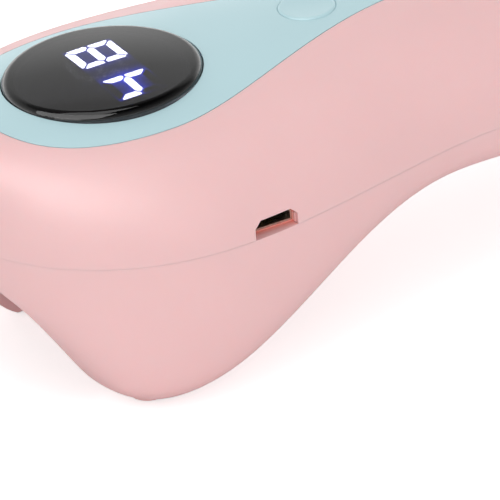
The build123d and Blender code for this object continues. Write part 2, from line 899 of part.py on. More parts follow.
coil_spot = (charge_x - charge_length / 2 + coil_end, header_y)
with BuildPart() as charger_coil:
    with BuildSketch(Plane.XY.offset(charge_top_z)):
        with Locations(coil_spot):
            RectangleRounded(coil_side, coil_side, charge_corner)
    extrude(amount=coil_height)
    with BuildSketch(Plane.XY.offset(charge_top_z + coil_height)):
        with Locations(coil_spot):
            Circle(coil_groove_radius)
            Circle(coil_core_radius, mode=Mode.SUBTRACT)
    extrude(amount=-coil_groove_depth, mode=Mode.SUBTRACT)
charger_coil.part.label = "charger_coil"

plug_mid_z = charge_top_z + header_height / 2 + well_gap
with BuildPart() as battery_header:
    with BuildSketch(Plane.XY.offset(charge_top_z)):
        with Locations((header_x, header_y)):
            Rectangle(header_length, header_width)
    extrude(amount=header_height)
    with BuildSketch(Plane.YZ.offset(header_x + header_length / 2)):
        with Locations((header_y, plug_mid_z)):
            Rectangle(header_width - 2 * header_wall, header_height - 2 * header_wall - well_gap)
    extrude(amount=-plug_length, mode=Mode.SUBTRACT)
battery_header.part.label = "battery_header"

plug_plane = Plane.YZ.offset(header_x + header_length / 2 - plug_length + press_gap)
with BuildPart() as battery_plug:
    with BuildSketch(plug_plane):
        with Locations((header_y, plug_mid_z)):
            Rectangle(
                header_width - 2 * (header_wall + slide_gap),
                header_height - 2 * (header_wall + slide_gap) - well_gap,
            )
    extrude(amount=plug_length + plug_tail)
battery_plug.part.label = "battery_plug"

with BuildPart() as charging_board_screws:
    for x, y in charge_screws:
        add(
            screw(
                Plane(origin=(x, y, charge_top_z)), board_head_radius, board_head_height, board_shank_radius,
                charge_thickness + charge_thread_length,
            )
        )
charging_board_screws.part.label = "charging_board_screws"

# Light: window, reflector and lamp board, stacked on the tunnel's roof
window_plane = light_plane.offset(-window_thickness)
lamp_spots = GridLocations(led_pitch_x, led_pitch_y, led_columns, led_rows).local_locations
with BuildPart() as light_window:
    with BuildSketch(window_plane):
        RectangleRounded(
            window_length + 2 * window_rim - 2 * inlay_gap,
            window_width + 2 * window_rim - 2 * inlay_gap,
            window_corner + window_rim - inlay_gap,
        )
    extrude(amount=window_thickness - press_gap)
light_window.part.label = "light_window"

with BuildPart() as reflector:
    with BuildSketch(light_plane):
        RectangleRounded(reflector_length, reflector_width, window_corner)
    extrude(amount=reflector_height)
    for spot in lamp_spots:
        with BuildSketch(light_plane):
            with Locations(spot):
                Circle(led_mouth_radius)
        with BuildSketch(light_plane.offset(reflector_height)):
            with Locations(spot):
                Circle(led_hole_radius)
        loft(mode=Mode.SUBTRACT)
reflector.part.label = "reflector"

with BuildPart() as led_board:
    with BuildSketch(light_plane.offset(reflector_height)):
        RectangleRounded(led_board_length, reflector_width, led_board_corner)
        with Locations((-led_screw_x, 0), (led_screw_x, 0)):
            Circle(board_shank_radius + board_hole_gap, mode=Mode.SUBTRACT)
    extrude(amount=led_board_thickness)
led_board.part.label = "led_board"

with BuildPart() as led_beads:
    with BuildSketch(light_plane.offset(reflector_height)):
        with GridLocations(led_pitch_x, led_pitch_y, led_columns, led_rows):
            RectangleRounded(led_length, led_width, led_corner)
    extrude(amount=-led_height)
led_beads.part.label = "led_beads"

with BuildPart() as led_board_screws:
    for x in (-led_screw_x, led_screw_x):
        spot = light_plane.from_local_coords((x, 0, reflector_height + led_board_thickness))
        add(
            screw(
                Plane(origin=spot, x_dir=light_plane.x_dir, z_dir=light_plane.z_dir), board_head_radius,
                board_head_height, board_shank_radius, led_board_thickness + led_thread_length,
            )
        )
led_board_screws.part.label = "led_board_screws"

# Battery: a flat cell on a foam pad, across the handle's ribs
with BuildPart() as battery_pad:
    with BuildSketch(cell_plane):
        Rectangle(cell_length - 2 * pad_end, cell_width - 2 * pad_side)
    extrude(amount=pad_thickness)
battery_pad.part.label = "battery_pad"

with BuildPart() as battery_cell:
    with BuildSketch(cell_plane.offset(pad_thickness)):
        RectangleRounded(cell_length, cell_width, cell_corner)
    extrude(amount=cell_thickness)
    ends = battery_cell.faces().sort_by(Axis(cell_plane.origin, cell_plane.z_dir))
    fillet(ends[0].edges() + ends[-1].edges(), cell_round)
battery_cell.part.label = "battery_cell"

guard_x = -cell_length / 2 - guard_length / 2
guard_low = pad_thickness + cell_thickness / 2 - guard_thickness / 2
with BuildPart() as battery_guard:
    with BuildSketch(cell_plane.offset(guard_low)):
        with Locations((guard_x, 0)):
            Rectangle(guard_length, guard_width)
    extrude(amount=guard_thickness)
battery_guard.part.label = "battery_guard"


def lead(points, radius, bend):
    """A round insulated wire along straight runs joined by arcs."""
    with BuildPart() as wire:
        with BuildLine() as route:
            FilletPolyline(*points, radius=bend)
        with BuildSketch(Plane(origin=route.line @ 0, z_dir=route.line % 0)):
            Circle(radius)
        sweep(path=route.line)
    return wire.part


plug_end_x = plug_plane.origin.X + plug_length + plug_tail
with BuildPart() as battery_leads:
    for side in (-1, 1):
        guard_end = cell_plane.from_local_coords(
            (guard_x - guard_length / 2, side * guard_lead_y, guard_low + guard_thickness / 2)
        )
        plug_y = header_y + side * lead_pitch / 2
        points = [
            (plug_end_x, plug_y, plug_mid_z),
            (plug_end_x + 2 * lead_bend, plug_y, plug_mid_z),
            (guard_end.X - 3 * lead_bend, guard_end.Y, guard_end.Z + 2 * lead_radius),
            (guard_end.X, guard_end.Y, guard_end.Z),
        ]
        add(lead(points, lead_radius, lead_bend))
battery_leads.part.label = "battery_leads"

with BuildPart() as led_leads:
    for step in (0, 1):
        foot = light_plane.from_local_coords(
            (
                charge_x - led_lead_shift - step * led_lead_pitch - light_plane.origin.X,
                -led_lead_y,
                reflector_height + led_board_thickness + slide_gap,
            )
        )
        end_y = charge_far_y - led_lead_far - step * led_lead_step
        points = [
            (foot.X, foot.Y, foot.Z),
            (foot.X, foot.Y, charge_top_z + led_lead_rise),
            (foot.X, end_y, charge_top_z + led_lead_rise),
            (foot.X, end_y, charge_top_z),
        ]
        add(lead(points, lead_radius, tight_bend))
led_leads.part.label = "led_leads"

link_x = charge_x + link_shift
link_low_y = charge_far_y - link_far
link_high_y = link_inset - control_width / 2
with BuildPart() as link_cable:
    with BuildLine() as link_route:
        FilletPolyline(
            (link_x, link_low_y, charge_top_z),
            (link_x, link_low_y, charge_top_z + link_end),
            (link_x, (link_low_y + link_high_y) / 2 + link_sway, (charge_top_z + control_low_z) / 2),
            (link_x, link_high_y, control_low_z - link_end),
            (link_x, link_high_y, control_low_z),
            radius=link_bend,
        )
    with BuildSketch(Plane.XY.offset(charge_top_z)):
        with Locations((link_x, link_low_y)):
            Rectangle(link_width, link_thickness)
    sweep(path=link_route.line)
link_cable.part.label = "link_cable"

# Case screws, and the rubber feet that cover them
with BuildPart() as case_screws:
    for x, y in leg_screws:
        add(
            screw(
                Plane(origin=(x, y, seam_level - leg_head_seat), z_dir=(0, 0, -1)), case_well_radius - well_gap,
                case_head_height, case_shank_radius, leg_head_seat + leg_thread_length - thread_room,
            )
        )
    add(
        screw(
            Plane(origin=(tail_screw_x, 0, tail_tower_z - tail_head_seat), z_dir=(0, 0, -1)),
            case_well_radius - well_gap, case_head_height, case_shank_radius,
            tail_head_seat + tail_thread_length - thread_room,
        )
    )
case_screws.part.label = "case_screws"

with BuildPart() as leg_feet:
    with BuildSketch(Plane.XY):
        with Locations(*leg_screws):
            SlotOverall(leg_foot_length - 2 * inlay_gap, leg_foot_width - 2 * inlay_gap)
    extrude(amount=foot_height + foot_recess - press_gap)
    chamfer(leg_feet.faces().filter_by(Axis.Z).group_by(Axis.Z)[0].edges(), foot_chamfer)
leg_feet.part.label = "leg_feet"

with BuildPart() as tail_foot:
    with BuildSketch(Plane.XY):
        with Locations((tail_screw_x, 0)):
            SlotOverall(tail_foot_length - 2 * inlay_gap, tail_foot_width - 2 * inlay_gap)
    extrude(amount=foot_height + foot_recess - press_gap)
    chamfer(tail_foot.faces().filter_by(Axis.Z).group_by(Axis.Z)[0].edges(), foot_chamfer)
tail_foot.part.label = "tail_foot"

pieces = [
    top_shell,
    bottom_shell,
    top_panel,
    display_lens,
    lens_tape,
    display_housing,
    lit_segments,
    dark_segments,
    power_button,
    switch_body,
    switch_plunger,
    control_board,
    control_chip,
    control_board_screws,
    charging_board,
    usb_shell,
    usb_tongue,
    charger_chip,
    charger_coil,
    battery_header,
    battery_plug,
    charging_board_screws,
    light_window,
    reflector,
    led_board,
    led_beads,
    led_board_screws,
    battery_pad,
    battery_cell,
    battery_guard,
    battery_leads,
    led_leads,
    link_cable,
    case_screws,
    leg_feet,
    tail_foot,
]
for piece in pieces:
    print(piece.part.label, len(piece.part.solids()), round(piece.part.volume, 1), piece.part.is_valid)
    export_step(piece.part, f"parts/{piece.part.label}.step")
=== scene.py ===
"""Looks for a handheld nail lamp: its finishes, small visible pieces, floor, lights and camera."""

import math

import bpy
from mathutils import Matrix, Vector


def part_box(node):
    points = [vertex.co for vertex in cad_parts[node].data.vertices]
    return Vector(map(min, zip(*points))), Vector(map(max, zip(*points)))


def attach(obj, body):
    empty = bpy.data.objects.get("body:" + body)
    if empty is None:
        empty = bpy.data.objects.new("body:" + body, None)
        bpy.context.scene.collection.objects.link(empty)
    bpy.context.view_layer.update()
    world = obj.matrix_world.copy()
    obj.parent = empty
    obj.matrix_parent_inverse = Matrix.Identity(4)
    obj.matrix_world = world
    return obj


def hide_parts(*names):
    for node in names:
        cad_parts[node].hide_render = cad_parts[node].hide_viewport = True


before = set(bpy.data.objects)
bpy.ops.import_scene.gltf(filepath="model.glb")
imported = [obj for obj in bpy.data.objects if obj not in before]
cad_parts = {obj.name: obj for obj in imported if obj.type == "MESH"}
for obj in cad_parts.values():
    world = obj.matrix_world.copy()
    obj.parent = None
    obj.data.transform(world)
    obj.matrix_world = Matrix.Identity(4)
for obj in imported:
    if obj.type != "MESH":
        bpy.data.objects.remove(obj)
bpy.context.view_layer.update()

bl_info = {
    "name": "Nail Lamp Finishes",
    "version": (1, 0, 0),
    "blender": (4, 5, 0),
    "location": "3D View > Sidebar > Nail Lamp",
    "description": "Finishes, small pieces, lights and camera for a handheld nail lamp",
    "category": "Object",
}

MM = 0.001

# The level at which the two shells meet in the head, as the CAD has it
SEAM_HEIGHT = 28.1 * MM
# The notch for the charging socket: it stands on the seam and its upper corners are cut
NOTCH_WIDTH = 8.1 * MM
NOTCH_HEIGHT = 3.1 * MM
NOTCH_CORNER = 1.2 * MM
# How far out from the socket's mouth the notch's painted deeper pink and glow fade away, and how thick a skin
# it has
NOTCH_DEPTH = 1.3 * MM
NOTCH_SKIN = 0.05 * MM
# The lining of the notch: its play in the notch, how deep it is, and how far its cheeks reach forward
LINING_ROOM = 0.02 * MM
LINING_DEPTH = 0.5 * MM
CHEEK_REACH = 0.9 * MM
# Shade is painted into a gap: it darkens where surfaces nearer than this hide the sky, down to this share of
# the colour. It is darkest where less than the first share of the sky is seen, and none from the second share
# on.
GAP_REACH = 0.35 * MM
GAP_SHADE = 0.12
GAP_DARK, GAP_CLEAR = 0.15, 0.6
# Noise lies mostly between these two values, which are stretched to the range that is wanted
NOISE_LOW, NOISE_HIGH = 0.3, 0.7
# How far the gloss of a moulded surface drifts either way
GLOSS_DRIFT = 0.03
# A socket contact: its length, thickness, nose and rounding, where it starts behind the tongue's edge,
# and how far it lies under the tongue's middle
CONTACT_COUNT = 5
CONTACT_LENGTH = 3.2 * MM
CONTACT_THICKNESS = 0.12 * MM
CONTACT_NOSE = 0.28 * MM
CONTACT_ROUND = 0.04 * MM
CONTACT_START = 0.45 * MM
CONTACT_DROP = 0.025 * MM
# How far the light over the finger tunnel leans, the direction that follows, and half a lamp bead's side
LIGHT_SLOPE = math.radians(4.0)
LIGHT_UP = Vector((math.sin(LIGHT_SLOPE), 0.0, math.cos(LIGHT_SLOPE)))
BEAD_HALF = 1.75 * MM
# The flange round a silicone dome: its share of the dome's width, and its thickness
FLANGE_SHARE = 1.18
FLANGE_THICKNESS = 0.06 * MM
# The skirt that reaches down from the bead round the button, into its gap
BEAD_SKIRT = 0.4 * MM
# A rubber sole: how far its middle stands out, the flat margin round that, the rounding of the margin's
# edge and of the middle's, the plain border of the middle, and half a groove's width
SOLE_STEP = 0.45 * MM
SOLE_MARGIN = 1.2 * MM
MARGIN_ROUND = 0.3 * MM
MIDDLE_ROUND = 0.25 * MM
MIDDLE_BORDER = 0.25 * MM
GROOVE_HALF = 0.35 * MM
# How near to a level a face or edge lies to be picked by that level
LEVEL_ROOM = 0.003 * MM
# The camera's turn, height and roll, the point it looks at, and the widths of its picture and sensor
CAMERA_TURN, CAMERA_HEIGHT, CAMERA_ROLL = (math.radians(angle) for angle in (-26.775, 28.053, -4.967))
CAMERA_TARGET = Vector((-63.997, -65.91, 46.6)) * MM
PICTURE_WIDTH = 500
SENSOR_WIDTH = 36.0
# What the softboxes are turned to
HEAD_MIDDLE = Vector((-0.03, 0.0, 0.02))
# The round floor, how far under the feet it lies, where it fades to plain white, and how much whiter the
# camera sees the rest of it
FLOOR_RADIUS = 2.5
FLOOR_ROOM = 0.02 * MM
FLOOR_FADE = (0.1, 0.45)
FLOOR_LIFT = 0.6
# How bright gloss sees the surround beside the lamp and beyond it, and how far round the change takes
BESIDE, BEYOND, TURN_SPAN = 0.7, 2.6, 0.35
# How bright gloss sees the surround, from level with the lamp to straight above it
SURROUND_STEPS = (
    (0.0, 1.0), (0.12, 0.8), (0.24, 0.6), (0.47, 0.3), (0.62, 0.24), (0.67, 0.2), (0.75, 0.08), (1.0, 0.06)
)
WHITE = (1.0, 1.0, 1.0, 1.0)


def linear(code):
    """The linear colour that a shader takes for an sRGB hex colour."""
    channels = [int(code[i : i + 2], 16) / 255 for i in (0, 2, 4)]
    return [c / 12.92 if c <= 0.04045 else ((c + 0.055) / 1.055) ** 2.4 for c in channels]


def colour_property(name, description, code):
    return bpy.props.FloatVectorProperty(
        name=name, description=description, subtype="COLOR", size=3, min=0.0, max=1.0, default=linear(code)
    )


def length_property(name, description, metres):
    return bpy.props.FloatProperty(name=name, description=description, default=metres, unit="LENGTH")


def power_property(name, description, watts):
    return bpy.props.FloatProperty(name=name, description=description, default=watts, unit="POWER")


def add_node(tree, kind, inputs=None, **settings):
    """Adds a node with its settings. An input is linked to a socket that it is given, or set to a value."""
    node = tree.nodes.new(kind)
    for name, value in settings.items():
        setattr(node, name, value)
    for name, value in (inputs or {}).items():
        if isinstance(value, bpy.types.NodeSocket):
            tree.links.new(value, node.inputs[name])
        else:
            node.inputs[name].default_value = value
    return node


# Sizes and colours that a user would change


class NailLampPlastics(bpy.types.PropertyGroup):
    shell: colour_property("Shell", "Pink of the two moulded shells", "F3C6C6")
    inlay: colour_property("Inlay", "Pale blue of the inlay and the button", "BDDDE3")
    # Painted light: the notch is painted this deeper pink and glows faintly in it, for light that comes
    # through the wall
    notch: colour_property("Notch", "Deeper pink in the charging notch, where light comes through", "EC988C")
    grain: length_property("Grain", "Width of one bump of the mould's fine texture", 0.22 * MM)
    sink: length_property("Sink", "Width of the shells' slow changes in gloss", 18 * MM)


class NailLampDisplay(bpy.types.PropertyGroup):
    smoke: colour_property("Smoke", "Tint of the smoked lens", "3C3C40")
    lit: colour_property("Lit bars", "Colour of the bars that are on", "F4F6FF")
    # The halo is a glow painted on the display housing, standing in for the light that the bars spill
    halo: colour_property("Halo", "Blue-violet light that spills round the lit bars", "3044FF")
    halo_reach: length_property("Halo reach", "How far the spilled light carries from a bar", 0.8 * MM)


class NailLampSmallPieces(bpy.types.PropertyGroup):
    bead_radius: length_property("Bead radius", "Radius of the middle of the button's bead", 4.7 * MM)
    bead_width: length_property("Bead width", "Width of the bead round the button", 0.094 * MM)
    bead_drop: length_property("Bead drop", "How far the bead lies under the inlay's top", 0.05 * MM)
    contact_width: length_property("Contact width", "Width of one contact in the socket", 0.36 * MM)
    contact_pitch: length_property("Contact pitch", "From one contact to the next", 0.65 * MM)
    dome_radius: length_property("Dome radius", "Radius of the silicone dome on a lamp bead", 1.1 * MM)
    dome_height: length_property("Dome height", "How far the dome stands off its bead", 0.55 * MM)
    groove_pitch: length_property("Groove pitch", "From one groove of a rubber sole to the next", 1.5 * MM)
    groove_depth: length_property("Groove depth", "Depth of the grooves of a rubber sole", 0.22 * MM)


class NailLampStudio(bpy.types.PropertyGroup):
    distance: length_property("Camera distance", "From the lamp to the camera", 3.333)
    pixels_per_mm: bpy.props.FloatProperty(
        name="Scale", description="Picture elements that a millimetre of the lamp covers", default=6.455
    )
    sky: bpy.props.FloatProperty(
        name="Sky", description="Brightness of the soft light all round", default=0.635
    )
    key: power_property("Key", "Power of the softbox above the lamp", 1.0)
    side: power_property("Side", "Power of the softbox at the nose's side", 0.8)
    fill: power_property("Fill", "Power of the softbox behind the camera", 1.4)
    streak: power_property("Streak", "Power of the long softbox that only gloss mirrors", 3.8)


# Finishes


def opaque(colour):
    return (*colour, 1.0)


def shade(colour, amount):
    return [min(1.0, c * amount) for c in colour]


def new_finish(name):
    """An empty material, its node tree and a coordinate source in the lamp's own metres."""
    material = bpy.data.materials.new(name)
    material.use_nodes = True
    tree = material.node_tree
    tree.nodes.clear()
    place = add_node(tree, "ShaderNodeTexCoord").outputs["Object"]
    return material, tree, place


def finish_with(tree, shader):
    add_node(tree, "ShaderNodeOutputMaterial", {"Surface": shader.outputs[0]})


def varied(tree, place, size, low, high, detail=2.0):
    """A number that drifts between two values, in soft patches of one size."""
    noise = add_node(tree, "ShaderNodeTexNoise", {"Vector": place, "Scale": 1 / size, "Detail": detail})
    span = {"From Min": NOISE_LOW, "From Max": NOISE_HIGH, "To Min": low, "To Max": high}
    return add_node(tree, "ShaderNodeMapRange", {"Value": noise.outputs[0], **span}).outputs[0]


def beyond_box(tree, place, middle, half):
    """How far a point lies beyond a box along each axis: less than nothing inside it."""
    away = add_node(tree, "ShaderNodeVectorMath", {0: place, 1: middle}, operation="SUBTRACT")
    away = add_node(tree, "ShaderNodeVectorMath", {0: away.outputs[0]}, operation="ABSOLUTE")
    away = add_node(tree, "ShaderNodeVectorMath", {0: away.outputs[0], 1: half}, operation="SUBTRACT")
    return away.outputs[0]


def moulded(name, colour, roughness, grain, depth, drift, contrast, ior=1.5, edge=None):
    """A moulded, cast or coated surface: a fine texture in it, and slow drifts of gloss and colour.

    Edge is the radius that rounds its edges to the eye, where the CAD has them sharp.
    """
    material, tree, place = new_finish(name)
    patches = varied(tree, place, drift, 0.0, 1.0)
    ends = {0: patches, 6: opaque(shade(colour, 1 - contrast)), 7: opaque(shade(colour, 1 + contrast))}
    colours = add_node(tree, "ShaderNodeMix", ends, data_type="RGBA")
    dull = varied(tree, place, drift / 3, roughness - GLOSS_DRIFT, roughness + GLOSS_DRIFT, 4.0)
    texture = add_node(tree, "ShaderNodeTexNoise", {"Vector": place, "Scale": 1 / grain, "Detail": 1.0})
    relief = {"Height": texture.outputs[0], "Strength": 0.35, "Distance": depth}
    bump = add_node(tree, "ShaderNodeBump", relief)
    if edge:
        soft = add_node(tree, "ShaderNodeBevel", {"Radius": edge}, samples=6)
        tree.links.new(soft.outputs[0], bump.inputs["Normal"])
    surface = {"Base Color": colours.outputs[2], "Roughness": dull, "Normal": bump.outputs[0], "IOR": ior}
    finish_with(tree, add_node(tree, "ShaderNodeBsdfPrincipled", surface))
    return material


def metal(name, colour, roughness, brushing, depth):
    """A metal with fine lines of plating or rolling along X."""
    material, tree, place = new_finish(name)
    stretched = add_node(tree, "ShaderNodeMapping", {"Vector": place, "Scale": (0.1, 1.0, 1.0)}).outputs[0]
    lines = add_node(tree, "ShaderNodeTexNoise", {"Vector": stretched, "Scale": 1 / brushing, "Detail": 3.0})
    lines = lines.outputs[0]
    gloss, worn = roughness - 0.05, roughness + 0.08
    span = {"From Min": NOISE_LOW, "From Max": NOISE_HIGH, "To Min": gloss, "To Max": worn}
    dull = add_node(tree, "ShaderNodeMapRange", {"Value": lines, **span})
    bump = add_node(tree, "ShaderNodeBump", {"Height": lines, "Strength": 0.3, "Distance": depth})
    ends = {0: lines, 6: opaque(shade(colour, 0.92)), 7: opaque(shade(colour, 1.06))}
    colours = add_node(tree, "ShaderNodeMix", ends, data_type="RGBA")
    surface = {"Base Color": colours.outputs[2], "Roughness": dull.outputs[0], "Normal": bump.outputs[0]}
    finish_with(tree, add_node(tree, "ShaderNodeBsdfPrincipled", {"Metallic": 1.0, **surface}))
    return material


def dress(material, *nodes):
    """Gives CAD nodes a finish."""
    for name in nodes:
        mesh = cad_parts[name].data
        mesh.materials.clear()
        mesh.materials.append(material)


# Shaping


def separate_boxes(name):
    """The middle and half size of each separate solid in a CAD node, in metres."""
    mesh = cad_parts[name].data
    group = {}

    def root(spot):
        while group[spot] != spot:
            group[spot] = group[group[spot]]
            spot = group[spot]
        return spot

    def spot_of(index):
        return tuple(round(c * 1e6) for c in mesh.vertices[index].co)

    for face in mesh.polygons:
        spots = [spot_of(i) for i in face.vertices]
        for spot in spots:
            group.setdefault(spot, spot)
        for spot in spots[1:]:
            group[root(spot)] = root(spots[0])
    members = {}
    for spot in group:
        members.setdefault(root(spot), []).append(spot)
    boxes = []
    for spots in members.values():
        low = Vector([min(s[k] for s in spots) / 1e6 for k in range(3)])
        high = Vector([max(s[k] for s in spots) / 1e6 for k in range(3)])
        boxes.append(((low + high) / 2, (high - low) / 2))
    return sorted(boxes, key=lambda box: tuple(box[0]))


def clean_start():
    """Leaves edit mode and deselects everything."""
    if bpy.context.object and bpy.context.object.mode != "OBJECT":
        bpy.ops.object.mode_set(mode="OBJECT")
    bpy.ops.object.select_all(action="DESELECT")


def take(piece):
    """Selects one piece and nothing else."""
    clean_start()
    piece.select_set(True)
    bpy.context.view_layer.objects.active = piece


def begin(name):
    """Names the primitive that was just added, puts its place into its mesh and opens it for editing."""
    piece = bpy.context.object
    piece.name = name
    bpy.ops.object.transform_apply()
    bpy.ops.object.mode_set(mode="EDIT")
    return piece


def pick(piece, kind, test):
    """Selects the faces, edges or corners whose middle and direction pass a test."""
    bpy.ops.mesh.select_mode(type=kind)
    bpy.ops.mesh.select_all(action="DESELECT")
    bpy.ops.object.mode_set(mode="OBJECT")
    mesh = piece.data
    if kind == "FACE":
        for face in mesh.polygons:
            face.select = test(face.center, face.normal)
    elif kind == "EDGE":
        for edge in mesh.edges:
            first, second = (mesh.vertices[i].co for i in edge.vertices)
            edge.select = test((first + second) / 2, (second - first).normalized())
    else:
        for corner in mesh.vertices:
            corner.select = test(corner.co, corner.normal)
    bpy.ops.object.mode_set(mode="EDIT")


def draw_out(x, y, z):
    """Extrudes what is selected by a distance along each axis."""
    bpy.ops.mesh.extrude_region_move(TRANSFORM_OT_translate={"value": (x, y, z)})


def face_outward():
    """Turns all faces of the piece that is being edited outward."""
    bpy.ops.mesh.select_all(action="SELECT")
    bpy.ops.mesh.normals_make_consistent(inside=False)


def repeated(piece, moves):
    """Copies a piece to each further place and joins the copies into it."""
    copies = [piece]
    for move in moves:
        take(piece)
        bpy.ops.object.duplicate()
        bpy.ops.transform.translate(value=move)
        bpy.ops.object.transform_apply()
        copies.append(bpy.context.object)
    take(piece)
    for copy in copies:
        copy.select_set(True)
    bpy.ops.object.join()


def complete(piece, material, body="lamp", smooth=35.0):
    """Closes a piece: faces outward, smooth where it is round, with its finish and the body it rides on."""
    bpy.ops.object.mode_set(mode="EDIT")
    bpy.ops.mesh.select_all(action="SELECT")
    bpy.ops.mesh.remove_doubles(threshold=0.0005 * MM)
    face_outward()
    take(piece)
    bpy.ops.object.transform_apply()
    bpy.ops.object.shade_smooth_by_angle(angle=math.radians(smooth))
    piece.data.materials.clear()
    piece.data.materials.append(material)
    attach(piece, body)


class NAILLAMP_OT_shells(bpy.types.Operator):
    """Finish the two pink shells"""

    bl_idname = "naillamp.shells"
    bl_label = "Shells"

    def execute(self, context):
        sizes = context.scene.nail_lamp_plastics
        # ABS moulded in a spark-eroded tool: a satin skin with broad, soft highlights and an even colour.
        # The real grain is about 0.05 mm, too fine to show, so it is drawn four times as coarse.
        pink = moulded(
            "satin_moulded_pink_abs", sizes.shell, roughness=0.44, grain=sizes.grain, depth=0.012 * MM,
            drift=sizes.sink, contrast=0.012, ior=1.53, edge=0.16 * MM,
        )
        self.let_light_in(pink, sizes)
        dress(pink, "top_shell", "bottom_shell")
        return {"FINISHED"}

    def let_light_in(self, material, sizes):
        """Lets light into the wall, paints shade into each narrow gap, and paints a deeper pink and a glow
        into the notch.
        """
        tree = material.node_tree
        shader = tree.nodes["Principled BSDF"]
        skin = shader.inputs["Base Color"].links[0].from_socket
        # Painted shade: the colour darkens where nearby surfaces hide the sky, as in a narrow gap
        sky = add_node(tree, "ShaderNodeAmbientOcclusion", {"Distance": GAP_REACH}, samples=8).outputs["AO"]
        seen = add_node(
            tree, "ShaderNodeMapRange", {"Value": sky, "From Min": GAP_DARK, "From Max": GAP_CLEAR}
        )
        ends = {0: seen.outputs[0], 6: opaque(shade(sizes.shell, GAP_SHADE)), 7: skin}
        painted_gap_shade = add_node(tree, "ShaderNodeMix", ends, data_type="RGBA")
        # Painted light: inside the notch the pink is deeper and glows a little, for light that comes through
        # the wall
        deep = self.inside_notch(tree, tree.nodes["Texture Coordinate"].outputs["Object"])
        ends = {0: deep, 6: painted_gap_shade.outputs[2], 7: opaque(sizes.notch)}
        notch = add_node(tree, "ShaderNodeMix", ends, data_type="RGBA")
        painted_glow_strength = 0.1
        glow = add_node(tree, "ShaderNodeMath", {0: deep, 1: painted_glow_strength}, operation="MULTIPLY")
        tree.links.new(notch.outputs[2], shader.inputs["Base Color"])
        tree.links.new(glow.outputs[0], shader.inputs["Emission Strength"])
        shader.inputs["Emission Color"].default_value = opaque(sizes.notch)
        # Red light carries about a millimetre in this plastic, and green and blue much less
        shader.inputs["Subsurface Weight"].default_value = 0.2
        shader.inputs["Subsurface Radius"].default_value = (1.0, 0.3, 0.22)
        shader.inputs["Subsurface Scale"].default_value = 1.0 * MM

    def inside_notch(self, tree, place):
        """Where the notch's light is painted: one inside the charging notch, and nothing on the skin of the
        shells.
        """
        low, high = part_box("usb_shell")
        middle = Vector(((low.x + high.x) / 2, low.y, SEAM_HEIGHT + NOTCH_HEIGHT / 2))
        half = Vector((NOTCH_WIDTH / 2 + NOTCH_SKIN, NOTCH_DEPTH, NOTCH_HEIGHT / 2 + NOTCH_SKIN))
        axes = add_node(tree, "ShaderNodeSeparateXYZ", {0: beyond_box(tree, place, middle, half)}).outputs
        edge = add_node(tree, "ShaderNodeMath", {0: axes["X"], 1: axes["Z"]}, operation="MAXIMUM")
        walls = add_node(tree, "ShaderNodeMath", {0: edge.outputs[0], 1: 0.0}, operation="LESS_THAN")
        span = {"Value": axes["Y"], "From Min": -NOTCH_DEPTH, "From Max": 0.0, "To Min": 1.0, "To Max": 0.0}
        deep = add_node(tree, "ShaderNodeMapRange", span)
        share = {0: walls.outputs[0], 1: deep.outputs[0]}
        return add_node(tree, "ShaderNodeMath", share, operation="MULTIPLY").outputs[0]


class NAILLAMP_OT_inlay(bpy.types.Operator):
    """Finish the blue inlay and the power button"""

    bl_idname = "naillamp.inlay"
    bl_label = "Inlay and button"

    def execute(self, context):
        sizes = context.scene.nail_lamp_plastics
        # ABS moulded in a finer tool than the shells: a little smoother, so its highlights are tighter.
        # Its grain too is drawn coarser than the real one.
        blue = moulded(
            "satin_moulded_blue_abs", sizes.inlay, roughness=0.4, grain=sizes.grain, depth=0.01 * MM,
            drift=sizes.sink, contrast=0.01, ior=1.53, edge=0.15 * MM,
        )
        dress(blue, "top_panel", "power_button")
        self.bead(context.scene.nail_lamp_small, blue)
        return {"FINISHED"}

    def bead(self, sizes, blue):
        """A soft bead with a deep skirt, which fills the gap round the button."""
        low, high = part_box("power_button")
        middle = (low + high) / 2
        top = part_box("top_panel")[1].z - sizes.bead_drop
        clean_start()
        bpy.ops.mesh.primitive_torus_add(
            location=(middle.x, middle.y, top - sizes.bead_width / 2),
            major_radius=sizes.bead_radius,
            minor_radius=sizes.bead_width / 2,
            major_segments=128,
            minor_segments=12,
        )
        bead = begin("button_bead")
        pick(bead, "VERT", lambda spot, way: spot.z < top - sizes.bead_width / 2 - 0.001 * MM)
        bpy.ops.transform.translate(value=(0.0, 0.0, -BEAD_SKIRT))
        complete(bead, blue, smooth=80.0)


